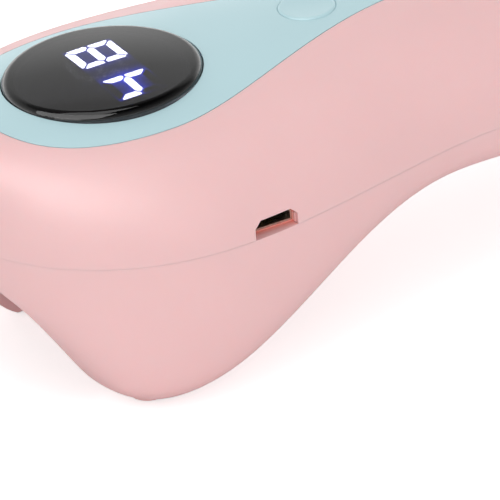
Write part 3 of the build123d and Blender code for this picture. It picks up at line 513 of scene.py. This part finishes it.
class NAILLAMP_OT_display(bpy.types.Operator):
    """Finish the smoked lens and the lit figures under it"""

    bl_idname = "naillamp.display"
    bl_label = "Display"

    def execute(self, context):
        sizes = context.scene.nail_lamp_display
        dress(self.lens(sizes), "display_lens")
        dress(self.housing(sizes), "display_housing")
        dress(self.lit_bars(sizes), "lit_segments")
        # Milky epoxy cast over a lamp that is off: dark grey with a soft sheen
        unlit = moulded(
            "unlit_milky_epoxy", linear("2A2A2E"), roughness=0.5, grain=0.3 * MM, depth=0.005 * MM,
            drift=4 * MM, contrast=0.05,
        )
        dress(unlit, "dark_segments")
        # Closed-cell foam tape, cut to a ring: dead black, with its cells open at the cut
        tape = moulded(
            "black_foam_tape", linear("141414"), roughness=0.85, grain=0.25 * MM, depth=0.05 * MM,
            drift=3 * MM, contrast=0.2,
        )
        dress(tape, "lens_tape")
        return {"FINISHED"}

    def lens(self, sizes):
        """Acrylic, dyed nearly black and moulded in a polished tool.

        It mirrors the room sharply, with a slight waver, and only what glows shows through it. Its haze comes
        from faint handling marks.
        """
        material, tree, place = new_finish("smoked_polished_acrylic")
        haze = varied(tree, place, 0.9 * MM, 0.012, 0.035, 3.0)
        waves = add_node(tree, "ShaderNodeTexNoise", {"Vector": place, "Scale": 1 / (14 * MM), "Detail": 1.0})
        waver = {"Height": waves.outputs[0], "Strength": 0.1, "Distance": 0.02 * MM}
        surface = {
            "Base Color": opaque(sizes.smoke),
            "Transmission Weight": 1.0,
            "IOR": 1.49,
            "Roughness": haze,
            "Normal": add_node(tree, "ShaderNodeBump", waver).outputs[0],
        }
        finish_with(tree, add_node(tree, "ShaderNodeBsdfPrincipled", surface))
        return material

    def housing(self, sizes):
        """ABS moulded matt and black, so that it hides in the lens, with a blue glow painted round the bars
        for the light they spill.
        """
        material, tree, place = new_finish("matt_moulded_black_abs")
        low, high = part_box("lit_segments")
        near_strength, far_strength = 20.0, 7.0
        total = 0.0
        for middle, half in separate_boxes("lit_segments"):
            strength = near_strength if middle.y < (low.y + high.y) / 2 else far_strength
            core = abs(half.x - half.y)
            line = (core, 0.0, 1.0) if half.x > half.y else (0.0, core, 1.0)
            beyond = beyond_box(tree, place, middle, line)
            away = add_node(tree, "ShaderNodeVectorMath", {0: beyond, 1: (0, 0, 0)}, operation="MAXIMUM")
            away = add_node(tree, "ShaderNodeVectorMath", {0: away.outputs[0]}, operation="LENGTH")
            reach = {0: away.outputs["Value"], 1: -1 / sizes.halo_reach}
            fade = add_node(tree, "ShaderNodeMath", reach, operation="MULTIPLY")
            fade = add_node(tree, "ShaderNodeMath", {0: fade.outputs[0]}, operation="EXPONENT")
            share = {0: fade.outputs[0], 1: strength, 2: total}
            total = add_node(tree, "ShaderNodeMath", share, operation="MULTIPLY_ADD").outputs[0]
        # Painted light: the housing glows round the bars, strongest near each bar and fading with distance
        glow = add_node(tree, "ShaderNodeMath", {0: total, 1: self.wells(tree, place)}, operation="MULTIPLY")
        surface = {
            "Base Color": opaque(linear("0A0A0C")),
            "Roughness": varied(tree, place, 2 * MM, 0.55, 0.7),
            "Emission Color": opaque(sizes.halo),
            "Emission Strength": glow.outputs[0],
        }
        finish_with(tree, add_node(tree, "ShaderNodeBsdfPrincipled", surface))
        return material

    def wells(self, tree, place):
        """One inside the figures' well, and nothing beyond its rim, which stops the light, so the painted
        glow ends there.
        """
        dark_low, dark_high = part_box("dark_segments")
        lit_low, lit_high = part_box("lit_segments")
        low = Vector(map(min, dark_low, lit_low))
        half = (Vector(map(max, dark_high, lit_high)) - low) / 2
        axes = add_node(tree, "ShaderNodeSeparateXYZ", {0: beyond_box(tree, place, low + half, half)}).outputs
        beyond = add_node(tree, "ShaderNodeMath", {0: axes["X"], 1: axes["Y"]}, operation="MAXIMUM")
        rim = {"Value": beyond.outputs[0], "From Min": -0.1 * MM, "From Max": 0.4 * MM}
        dark = {"To Min": 1.0, "To Max": 0.0}
        return add_node(
            tree, "ShaderNodeMapRange", {**rim, **dark}, interpolation_type="SMOOTHSTEP"
        ).outputs[0]

    def lit_bars(self, sizes):
        """Milky epoxy cast over a lamp that is on: blinding white, and a little uneven along each bar."""
        material, tree, place = new_finish("lit_milky_epoxy")
        uneven = varied(tree, place, 1.2 * MM, 0.85, 1.0)
        brightest = 50.0
        glow = add_node(tree, "ShaderNodeMath", {0: uneven, 1: brightest}, operation="MULTIPLY")
        surface = {
            "Base Color": opaque(linear("D8DAE6")),
            "Roughness": 0.4,
            "Emission Color": opaque(sizes.lit),
            "Emission Strength": glow.outputs[0],
        }
        finish_with(tree, add_node(tree, "ShaderNodeBsdfPrincipled", surface))
        return material


class NAILLAMP_OT_socket(bpy.types.Operator):
    """Finish the charging socket and add its contacts"""

    bl_idname = "naillamp.socket"
    bl_label = "Charging socket"

    def execute(self, context):
        # Steel strip, folded and tin plated: a soft, warm grey shine with faint lines of rolling
        tin = metal(
            "tin_plated_steel", linear("D6CDBF"), roughness=0.28, brushing=0.12 * MM, depth=0.004 * MM
        )
        dress(tin, "usb_shell")
        # Nylon moulded in a fine tool: black with a dull sheen
        nylon = moulded(
            "black_moulded_nylon", linear("1B1A1B"), roughness=0.5, grain=0.2 * MM, depth=0.01 * MM,
            drift=3 * MM, contrast=0.1,
        )
        dress(nylon, "usb_tongue")
        self.contacts(context.scene.nail_lamp_small)
        self.lining()
        return {"FINISHED"}

    def lining(self):
        """A pink lining that closes the notch round the socket's mouth, with two cheeks reaching forward."""
        low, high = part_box("usb_shell")
        middle = (low + high) / 2
        base = SEAM_HEIGHT + LINING_ROOM
        width, height = NOTCH_WIDTH - 2 * LINING_ROOM, NOTCH_HEIGHT - 2 * LINING_ROOM
        clean_start()
        bpy.ops.mesh.primitive_cube_add(
            size=1.0,
            location=(middle.x, low.y + LINING_DEPTH / 2, base + height / 2),
            scale=(width, LINING_DEPTH, height),
        )
        lining = begin("socket_surround")
        pick(lining, "EDGE", lambda spot, way: abs(way.y) > 0.9 and spot.z > middle.z)
        bpy.ops.mesh.bevel(offset=NOTCH_CORNER, segments=1)
        pick(lining, "FACE", lambda spot, way: abs(way.y) > 0.9)
        border = low.z - LINING_ROOM - base
        bpy.ops.mesh.inset(thickness=border)
        tall = (high.z - low.z + 2 * LINING_ROOM) / (height - 2 * border)
        bpy.ops.transform.resize(value=(1.0, 1.0, tall), center_override=(middle.x, low.y, base + border))
        bpy.ops.mesh.bridge_edge_loops()

        def in_cheek(spot, way):
            at_side = abs(spot.x - middle.x) > width / 2 - border
            return way.y < -0.9 and at_side and spot.z < middle.z + border

        pick(lining, "FACE", in_cheek)
        draw_out(0.0, -CHEEK_REACH, 0.0)
        # It takes the shells' finish, and with it the deeper pink and glow painted in the notch
        complete(lining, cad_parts["top_shell"].data.materials[0])

    def contacts(self, sizes):
        """Sprung strips under the socket's tongue, each with a nose that tapers towards the mouth."""
        low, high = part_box("usb_tongue")
        under = (low.z + high.z) / 2 - CONTACT_DROP
        front = low.y + CONTACT_START
        first = (low.x + high.x) / 2 - (CONTACT_COUNT - 1) / 2 * sizes.contact_pitch
        clean_start()
        bpy.ops.mesh.primitive_cube_add(
            size=1.0,
            location=(first, front + CONTACT_LENGTH / 2, under - CONTACT_THICKNESS / 2),
            scale=(sizes.contact_width, CONTACT_LENGTH, CONTACT_THICKNESS),
        )
        strip = begin("socket_contacts")
        pick(strip, "FACE", lambda spot, way: way.y < -0.9)
        draw_out(0.0, -CONTACT_NOSE, 0.0)
        tip = Vector((first, front - CONTACT_NOSE, under))
        bpy.ops.transform.resize(value=(0.6, 1.0, 0.5), center_override=tip)
        pick(strip, "EDGE", lambda spot, way: abs(way.y) > 0.9 and spot.z < under - CONTACT_THICKNESS / 2)
        bpy.ops.mesh.bevel(offset=CONTACT_ROUND, segments=2)
        repeated(strip, [(step * sizes.contact_pitch, 0.0, 0.0) for step in range(1, CONTACT_COUNT)])
        # Bronze spring strip, gold plated: yellow and nearly a mirror. Its lines of rolling are under
        # 0.01 mm, and are drawn coarser so that they show close by.
        gold = metal(
            "gold_plated_bronze", linear("D9B25A"), roughness=0.22, brushing=0.08 * MM, depth=0.002 * MM
        )
        complete(strip, gold)


class NAILLAMP_OT_boards(bpy.types.Operator):
    """Finish the circuit boards and what is soldered to them"""

    bl_idname = "naillamp.boards"
    bl_label = "Circuit boards"

    def execute(self, context):
        # Solder mask, poured over copper: a glassy green that pools a little darker
        green = moulded(
            "green_solder_mask", linear("1C6B3A"), roughness=0.3, grain=0.5 * MM, depth=0.01 * MM,
            drift=6 * MM, contrast=0.12,
        )
        dress(green, "control_board", "charging_board")
        # The same mask in white, which throws the lamp beads' light back
        white = moulded(
            "white_solder_mask", linear("E9E9E4"), roughness=0.32, grain=0.5 * MM, depth=0.01 * MM,
            drift=6 * MM, contrast=0.02,
        )
        dress(white, "led_board")
        # Epoxy with a mineral filler, moulded: charcoal with a dry, even sheen. The filler's grain is
        # about 0.03 mm, and is drawn coarser.
        epoxy = moulded(
            "moulded_black_epoxy", linear("1C1C1E"), roughness=0.55, grain=0.12 * MM, depth=0.01 * MM,
            drift=2 * MM, contrast=0.1,
        )
        dress(epoxy, "control_chip", "charger_chip", "switch_body")
        # Nylon moulded in a fine tool: dark grey with a dull sheen
        grey = moulded(
            "grey_moulded_nylon", linear("3A3A3C"), roughness=0.45, grain=0.15 * MM, depth=0.01 * MM,
            drift=2 * MM, contrast=0.06,
        )
        dress(grey, "switch_plunger")
        # Ferrite powder, pressed and fired: a rough grey stone whose grain shows
        ferrite = moulded(
            "pressed_ferrite", linear("3B3B3E"), roughness=0.7, grain=0.1 * MM, depth=0.02 * MM,
            drift=2 * MM, contrast=0.15,
        )
        dress(ferrite, "charger_coil")
        # Nylon without dye, moulded: a warm off-white, slightly waxy
        nylon = moulded(
            "natural_moulded_nylon", linear("E4E0D2"), roughness=0.42, grain=0.2 * MM, depth=0.01 * MM,
            drift=3 * MM, contrast=0.03,
        )
        dress(nylon, "battery_header", "battery_plug")
        return {"FINISHED"}


class NAILLAMP_OT_light(bpy.types.Operator):
    """Finish the light over the finger tunnel"""

    bl_idname = "naillamp.light"
    bl_label = "Light"

    def execute(self, context):
        dress(self.window(), "light_window")
        # Plastic with aluminium vapour laid on it: a mirror, a little wavy from the plastic below
        mirror = metal(
            "metallised_plastic", linear("DADADE"), roughness=0.12, brushing=0.3 * MM, depth=0.004 * MM
        )
        dress(mirror, "reflector")
        # Alumina ceramic, pressed and fired: a warm white, dry to the eye
        ceramic = moulded(
            "white_fired_ceramic", linear("E8E4D8"), roughness=0.4, grain=0.3 * MM, depth=0.01 * MM,
            drift=1.5 * MM, contrast=0.04,
        )
        dress(ceramic, "led_beads")
        self.domes(context.scene.nail_lamp_small)
        return {"FINISHED"}

    def window(self):
        """Acrylic moulded in a polished tool: clear and glossy, with a breath of haze."""
        material, tree, place = new_finish("clear_polished_acrylic")
        surface = {
            "Base Color": opaque(linear("F4F6FA")),
            "Transmission Weight": 1.0,
            "IOR": 1.49,
            "Roughness": varied(tree, place, 3 * MM, 0.02, 0.06),
        }
        finish_with(tree, add_node(tree, "ShaderNodeBsdfPrincipled", surface))
        return material

    def domes(self, sizes):
        """A silicone dome with a thin flange, cast on the face of each lamp bead."""
        spots = []
        for middle, half in separate_boxes("led_beads"):
            thickness = half.z / math.cos(LIGHT_SLOPE) - BEAD_HALF * math.tan(LIGHT_SLOPE)
            spots.append(middle - LIGHT_UP * thickness)
        clean_start()
        bpy.ops.mesh.primitive_uv_sphere_add(
            segments=28,
            ring_count=14,
            radius=sizes.dome_radius,
            location=spots[0],
            rotation=(0.0, LIGHT_SLOPE, 0.0),
            scale=(1.0, 1.0, sizes.dome_height / sizes.dome_radius),
        )
        dome = begin("bead_domes")
        bpy.ops.mesh.select_all(action="SELECT")
        bpy.ops.mesh.bisect(plane_co=spots[0], plane_no=LIGHT_UP, use_fill=True, clear_outer=True)
        pick(dome, "FACE", lambda spot, way: way.dot(LIGHT_UP) > 0.99)
        bpy.ops.transform.resize(value=(FLANGE_SHARE, FLANGE_SHARE, 1.0), center_override=spots[0])
        draw_out(*(-LIGHT_UP * FLANGE_THICKNESS))
        repeated(dome, [spot - spots[0] for spot in spots[1:]])
        # Silicone with yellow phosphor, cast in a drop: soft, very glossy and a little cloudy
        silicone = moulded(
            "cast_yellow_silicone", linear("E6CF6A"), roughness=0.16, grain=0.5 * MM, depth=0.004 * MM,
            drift=1.2 * MM, contrast=0.1, ior=1.41,
        )
        complete(dome, silicone)


class NAILLAMP_OT_battery(bpy.types.Operator):
    """Finish the battery and the wires"""

    bl_idname = "naillamp.battery"
    bl_label = "Battery and wires"

    def execute(self, context):
        # Aluminium foil laminated with nylon and pressed round the cell: a soft silver with faint creases
        foil = metal(
            "laminated_foil_pouch", linear("C4C7CA"), roughness=0.34, brushing=0.6 * MM, depth=0.02 * MM
        )
        dress(foil, "battery_cell")
        # Polyethylene foam, skived from a block: dull charcoal with small open cells
        foam = moulded(
            "closed_cell_foam", linear("2A2A2A"), roughness=0.9, grain=0.4 * MM, depth=0.08 * MM,
            drift=4 * MM, contrast=0.15,
        )
        dress(foam, "battery_pad")
        # Polyimide film tape, wound over the small board: amber, smooth and glossy, with slight wrinkles
        amber = moulded(
            "amber_film_tape", linear("B98A2E"), roughness=0.28, grain=0.8 * MM, depth=0.01 * MM,
            drift=3 * MM, contrast=0.08,
        )
        dress(amber, "battery_guard")
        # PVC extruded over the wires and the flat cable: smooth with a waxy sheen. Its skin is finer than
        # 0.05 mm, and is drawn coarser.
        for name, code, roughness, contrast, node in (
            ("red_wire_jacket", "B3201C", 0.45, 0.05, "battery_leads"),
            ("white_wire_jacket", "DEDEDC", 0.45, 0.03, "led_leads"),
            ("grey_flat_cable", "8C8C90", 0.5, 0.05, "link_cable"),
        ):
            dress(moulded(name, linear(code), roughness, 0.2 * MM, 0.01 * MM, 4 * MM, contrast), node)
        return {"FINISHED"}


class NAILLAMP_OT_fasteners(bpy.types.Operator):
    """Finish the screws and the rubber feet"""

    bl_idname = "naillamp.fasteners"
    bl_label = "Screws and feet"

    def execute(self, context):
        # Steel, cold headed and zinc plated: a cool, bluish grey shine
        zinc = metal(
            "zinc_plated_steel", linear("B9BCC2"), roughness=0.3, brushing=0.1 * MM, depth=0.006 * MM
        )
        dress(zinc, "control_board_screws", "charging_board_screws", "led_board_screws", "case_screws")
        # Silicone rubber, moulded and tinted like the shells: soft and matt, with a dusty look
        rubber = moulded(
            "moulded_silicone_rubber", linear("F2C6C4"), roughness=0.62, grain=0.3 * MM, depth=0.02 * MM,
            drift=4 * MM, contrast=0.04, ior=1.42,
        )
        dress(rubber, "leg_feet", "tail_foot")
        near, far = sorted(separate_boxes("leg_feet"), key=lambda box: box[0].y)
        tail = separate_boxes("tail_foot")[0]
        for name, (middle, half), node in (
            ("leg_foot_far", far, "leg_feet"),
            ("leg_foot_near", near, "leg_feet"),
            ("tail_foot_sole", tail, "tail_foot"),
        ):
            sole = self.sole(name, middle, half, context.scene.nail_lamp_small)
            complete(sole, rubber)
            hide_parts(node)
        return {"FINISHED"}

    def sole(self, name, middle, half, sizes):
        """A long round-ended pad, nearly flush with the leg, with a raised and grooved middle to stand on."""
        straight = half.x - half.y
        base = middle.z - half.z

        def up_to(level):
            return lambda spot, way: spot.z < level + LEVEL_ROOM

        clean_start()
        bpy.ops.mesh.primitive_circle_add(
            vertices=48, radius=half.y, fill_type="NGON", location=(middle.x, middle.y, middle.z + half.z)
        )
        pad = begin(name)
        for side in (-1, 1):
            pick(pad, "VERT", lambda spot, way: side * (spot.x - middle.x) > 0.01 * MM)
            bpy.ops.transform.translate(value=(side * straight, 0.0, 0.0))
        bpy.ops.mesh.select_all(action="SELECT")
        draw_out(0.0, 0.0, SOLE_STEP - 2 * half.z)
        face_outward()
        pick(pad, "EDGE", up_to(base + SOLE_STEP))
        bpy.ops.mesh.bevel(offset=MARGIN_ROUND, segments=4)
        pick(pad, "FACE", up_to(base + SOLE_STEP))
        bpy.ops.mesh.inset(thickness=SOLE_MARGIN)
        draw_out(0.0, 0.0, -SOLE_STEP)
        pick(pad, "EDGE", up_to(base))
        bpy.ops.mesh.bevel(offset=MIDDLE_ROUND, segments=4)
        pick(pad, "FACE", up_to(base))
        bpy.ops.mesh.inset(thickness=MIDDLE_BORDER)
        count = int(straight / sizes.groove_pitch) * 2 + 1
        for step in range(count):
            place = Vector((middle.x + (step - (count - 1) / 2) * sizes.groove_pitch, middle.y, base))

            def in_groove(spot, way):
                near = abs(spot.x - place.x) < 0.3 * MM and abs(spot.y - place.y) < 0.1 * MM
                return near and spot.z < base + LEVEL_ROOM

            for edge in (-GROOVE_HALF, GROOVE_HALF):
                pick(pad, "FACE", up_to(base))
                bpy.ops.mesh.bisect(plane_co=place + Vector((edge, 0.0, 0.0)), plane_no=(1.0, 0.0, 0.0))
            pick(pad, "FACE", in_groove)
            # The groove's floor is narrower than its mouth
            draw_out(0.0, 0.0, sizes.groove_depth)
            bpy.ops.transform.resize(value=(0.8, 0.96, 1.0), center_override=place)
        return pad


class NAILLAMP_OT_stage(bpy.types.Operator):
    """Lay the floor, hang the lamps and stand the camera"""

    bl_idname = "naillamp.stage"
    bl_label = "Floor, lights and camera"

    def execute(self, context):
        sizes = context.scene.nail_lamp_studio
        self.floor()
        self.sky(context.scene, sizes)
        self.softbox("overhead_softbox", (-0.12, -0.05, 0.62), (0.42, 0.42), sizes.key)
        self.softbox("nose_softbox", (-0.68, -0.36, 0.06), (0.4, 0.4), sizes.side)
        fill = self.softbox("front_softbox", (-0.08, -0.85, 0.12), (0.5, 0.5), sizes.fill)
        fill.visible_glossy = False
        streak = self.softbox("streak_softbox", (-0.41, -0.2, 0.36), (0.8, 0.5), sizes.streak)
        streak.visible_diffuse = False
        self.camera(context.scene, sizes)
        context.scene.view_settings.view_transform = "Standard"
        return {"FINISHED"}

    def floor(self):
        """Matt white paper, which fades to plain white away from the lamp and keeps the lamp's shadow."""
        clean_start()
        bpy.ops.mesh.primitive_circle_add(
            vertices=96, radius=FLOOR_RADIUS, fill_type="NGON", location=(0.0, 0.0, -FLOOR_ROOM)
        )
        floor = bpy.context.object
        floor.name = "floor"
        material, tree, place = new_finish("matt_white_paper")
        far = add_node(tree, "ShaderNodeVectorMath", {0: place}, operation="LENGTH").outputs["Value"]
        span = {"Value": far, "From Min": FLOOR_FADE[0], "From Max": FLOOR_FADE[1]}
        fade = add_node(tree, "ShaderNodeMapRange", span, interpolation_type="SMOOTHSTEP")
        path = add_node(tree, "ShaderNodeLightPath").outputs
        seen = path["Is Camera Ray"]
        either = seen
        for ray in (path["Is Glossy Ray"], path["Is Transmission Ray"]):
            either = add_node(tree, "ShaderNodeMath", {0: either, 1: ray}, operation="MAXIMUM").outputs[0]
        paper = add_node(tree, "ShaderNodeBsdfDiffuse", {"Color": opaque(linear("F2F2F2"))})
        lift = add_node(tree, "ShaderNodeMath", {0: seen, 1: FLOOR_LIFT}, operation="MULTIPLY")
        glow = add_node(tree, "ShaderNodeEmission", {"Color": WHITE, "Strength": lift.outputs[0]})
        near = add_node(tree, "ShaderNodeAddShader", {0: paper.outputs[0], 1: glow.outputs[0]})
        white = add_node(tree, "ShaderNodeEmission", {"Color": WHITE, "Strength": 1.0})
        share = add_node(tree, "ShaderNodeMath", {0: fade.outputs[0], 1: either}, operation="MULTIPLY")
        ends = {0: share.outputs[0], 1: near.outputs[0], 2: white.outputs[0]}
        finish_with(tree, add_node(tree, "ShaderNodeMixShader", ends))
        floor.data.materials.append(material)

    def sky(self, scene, sizes):
        """A white surround that shines evenly, and that gloss sees bright low down and beyond the lamp."""
        world = bpy.data.worlds.new("white_surround")
        scene.world = world
        world.use_nodes = True
        tree = world.node_tree
        tree.nodes.clear()
        path = add_node(tree, "ShaderNodeLightPath").outputs
        around = add_node(tree, "ShaderNodeTexCoord").outputs["Generated"]
        way = add_node(tree, "ShaderNodeSeparateXYZ", {0: around}).outputs
        high = add_node(tree, "ShaderNodeValToRGB", {0: way["Z"]})
        steps = high.color_ramp.elements
        # A new ramp has a step at each end already
        for place, share in SURROUND_STEPS:
            step = {0.0: 0, 1.0: -1}.get(place)
            step = steps.new(place) if step is None else steps[step]
            step.color = (share, share, share, 1.0)
        span = {"From Min": 0.0, "From Max": TURN_SPAN, "To Min": BESIDE, "To Max": BEYOND}
        beyond = add_node(tree, "ShaderNodeMapRange", {"Value": way["Y"], **span})
        seen = {0: high.outputs[0], 1: beyond.outputs[0]}
        seen = add_node(tree, "ShaderNodeMath", seen, operation="MULTIPLY").outputs[0]
        even, mirrored, white = (
            add_node(tree, "ShaderNodeBackground", {"Color": WHITE, "Strength": strength}).outputs[0]
            for strength in (sizes.sky, seen, 1.0)
        )
        rays = {0: path["Is Glossy Ray"], 1: path["Is Transmission Ray"]}
        glossy = add_node(tree, "ShaderNodeMath", rays, operation="MAXIMUM").outputs[0]
        first = add_node(tree, "ShaderNodeMixShader", {0: glossy, 1: even, 2: mirrored}).outputs[0]
        second = add_node(tree, "ShaderNodeMixShader", {0: path["Is Camera Ray"], 1: first, 2: white})
        add_node(tree, "ShaderNodeOutputWorld", {"Surface": second.outputs[0]})

    def softbox(self, name, place, size, power):
        """A square or long area lamp, turned to the lamp's head."""
        clean_start()
        bpy.ops.object.light_add(type="AREA", location=place)
        lamp = bpy.context.object
        lamp.name = name
        lamp.data.shape = "RECTANGLE"
        lamp.data.size, lamp.data.size_y = size
        lamp.data.energy = power
        lamp.visible_camera = False
        lamp.rotation_euler = (HEAD_MIDDLE - Vector(place)).to_track_quat("-Z", "Y").to_euler()
        return lamp

    def camera(self, scene, sizes):
        """The view from above the charging socket's side, nearly without perspective."""
        across = math.cos(CAMERA_HEIGHT)
        back = Vector(
            (math.sin(CAMERA_TURN) * across, -math.cos(CAMERA_TURN) * across, math.sin(CAMERA_HEIGHT))
        )
        level = Vector((math.cos(CAMERA_TURN), math.sin(CAMERA_TURN), 0.0))
        upright = back.cross(level)
        right = level * math.cos(CAMERA_ROLL) + upright * math.sin(CAMERA_ROLL)
        up = upright * math.cos(CAMERA_ROLL) - level * math.sin(CAMERA_ROLL)
        data = bpy.data.cameras.new("camera")
        camera = bpy.data.objects.new("camera", data)
        scene.collection.objects.link(camera)
        data.sensor_width = SENSOR_WIDTH
        data.lens = sizes.pixels_per_mm / MM * sizes.distance / PICTURE_WIDTH * SENSOR_WIDTH
        data.clip_start = 0.1
        data.clip_end = 20.0
        turned = Matrix((right, up, back)).transposed().to_4x4()
        camera.matrix_world = Matrix.Translation(CAMERA_TARGET + back * sizes.distance) @ turned
        scene.camera = camera


GROUPS = {
    NailLampPlastics: "nail_lamp_plastics",
    NailLampDisplay: "nail_lamp_display",
    NailLampSmallPieces: "nail_lamp_small",
    NailLampStudio: "nail_lamp_studio",
}
STEPS = (
    NAILLAMP_OT_shells,
    NAILLAMP_OT_inlay,
    NAILLAMP_OT_display,
    NAILLAMP_OT_socket,
    NAILLAMP_OT_boards,
    NAILLAMP_OT_light,
    NAILLAMP_OT_battery,
    NAILLAMP_OT_fasteners,
    NAILLAMP_OT_stage,
)


class NAILLAMP_PT_panel(bpy.types.Panel):
    """Lists the lamp's sizes, colours and steps"""

    bl_idname = "NAILLAMP_PT_panel"
    bl_label = "Nail Lamp"
    bl_space_type = "VIEW_3D"
    bl_region_type = "UI"
    bl_category = "Nail Lamp"

    def draw(self, context):
        for group, holder in GROUPS.items():
            box = self.layout.box()
            for name in group.__annotations__:
                box.prop(getattr(context.scene, holder), name)
        for step in STEPS:
            self.layout.operator(step.bl_idname)


def register():
    for item in (*GROUPS, *STEPS, NAILLAMP_PT_panel):
        bpy.utils.register_class(item)
    for group, name in GROUPS.items():
        setattr(bpy.types.Scene, name, bpy.props.PointerProperty(type=group))


def unregister():
    for name in GROUPS.values():
        delattr(bpy.types.Scene, name)
    for item in (NAILLAMP_PT_panel, *reversed(STEPS), *GROUPS):
        bpy.utils.unregister_class(item)


def main():
    register()
    for step in STEPS:
        operator = getattr(bpy.ops.naillamp, step.bl_idname.partition(".")[2])
        operator()


if __name__ == "__main__":
    main()
